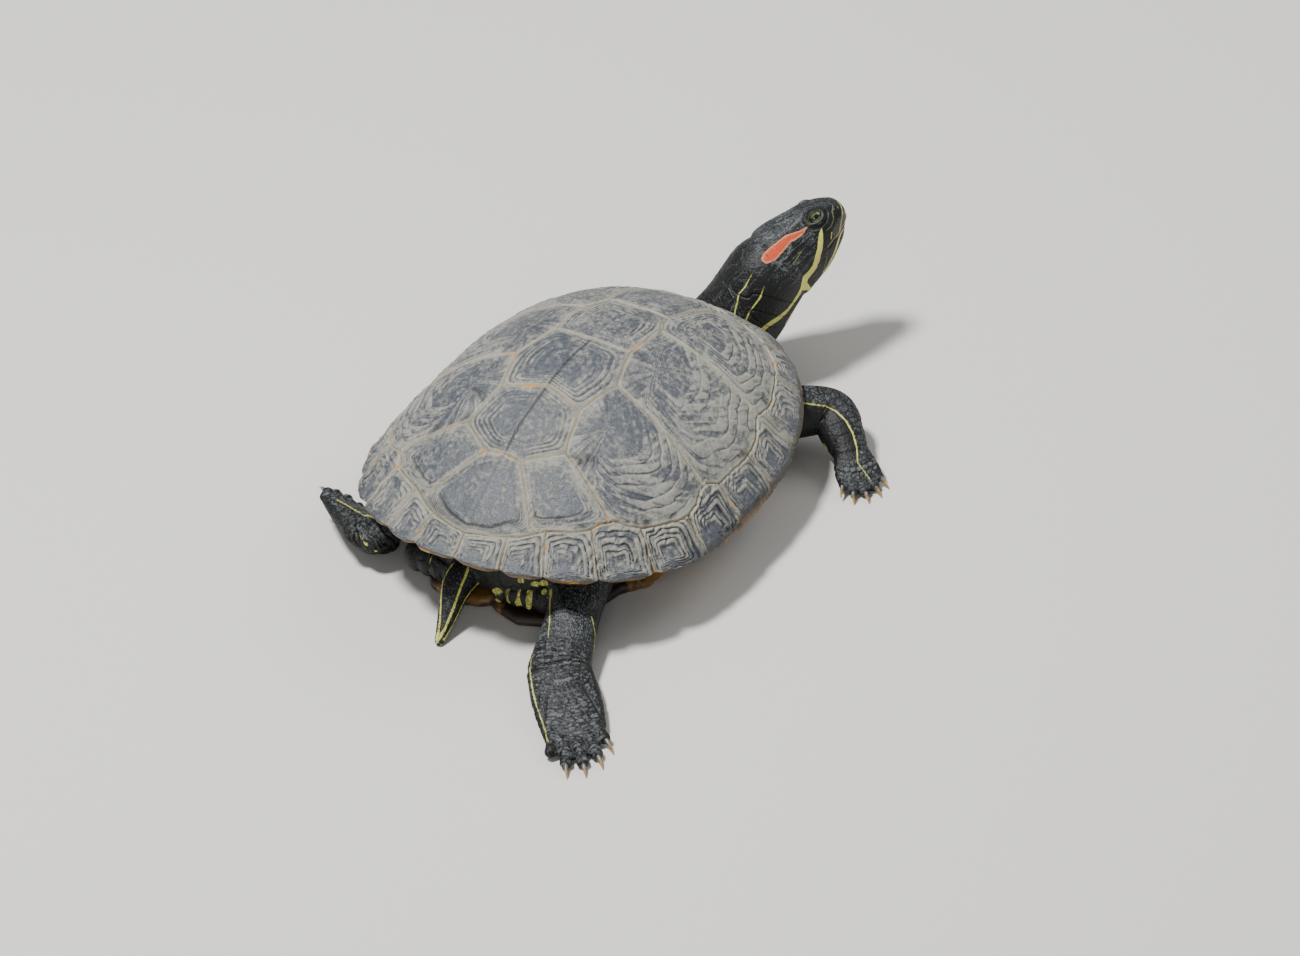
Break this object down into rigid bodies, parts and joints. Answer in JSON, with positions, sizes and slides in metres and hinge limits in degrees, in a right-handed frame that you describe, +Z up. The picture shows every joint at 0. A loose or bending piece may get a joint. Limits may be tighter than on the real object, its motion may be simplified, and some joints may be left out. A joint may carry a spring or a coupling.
{
  "type": "red-eared slider turtle",
  "caption": "Life-size still model of a basking pond turtle: domed scuted shell, raised head turned to its right, splayed legs, short tail, resting on its plastron.",
  "frame": {"origin": "middle of the plastron's flat underside, on the floor", "axes": "+X to the turtle's front, +Y to its left, +Z up"},
  "size_m": [0.3707, 0.2579, 0.0955],
  "materials": {
    "carapace_scute": "slate grey keratin scutes under a dusty khaki film, satin where worn",
    "plastron_scute": "ochre to orange-brown keratin with dark blotches, satin",
    "skin": "charcoal scaled and wrinkled skin with pale yellow stripes and a red-orange stripe behind each eye",
    "claw_keratin": "horn-coloured keratin, darker at the root, semi-gloss",
    "beak_keratin": "dark olive keratin with thin yellow lines and a tan cutting edge, satin",
    "eye": "wet green iris with a dark bar through the pupil, glossy"
  },
  "bodies": {
    "root": {"carapace": "carapace_scute", "plastron": "plastron_scute", "trunk": "skin", "neck": "skin", "head": "skin", "upper_beak": "beak_keratin", "lower_jaw": "skin", "eye_left": "eye", "eye_right": "eye", "tail": "skin", "upper_arm_right": "skin", "forearm_right": "skin", "forefoot_right": "skin", "fore_claw_right_1": "claw_keratin", "fore_claw_right_2": "claw_keratin", "fore_claw_right_3": "claw_keratin", "fore_claw_right_4": "claw_keratin", "fore_claw_right_5": "claw_keratin", "thigh_right": "skin", "shank_right": "skin", "hindfoot_right": "skin", "hind_claw_right_1": "claw_keratin", "hind_claw_right_2": "claw_keratin", "hind_claw_right_3": "claw_keratin", "hind_claw_right_4": "claw_keratin", "upper_arm_left": "skin", "forearm_left": "skin", "forefoot_left": "skin", "fore_claw_left_1": "claw_keratin", "fore_claw_left_2": "claw_keratin", "fore_claw_left_3": "claw_keratin", "fore_claw_left_4": "claw_keratin", "fore_claw_left_5": "claw_keratin", "thigh_left": "skin", "shank_left": "skin", "hindfoot_left": "skin", "hind_claw_left_1": "claw_keratin", "hind_claw_left_2": "claw_keratin", "hind_claw_left_3": "claw_keratin", "hind_claw_left_4": "claw_keratin"}
  },
  "joints": []
}
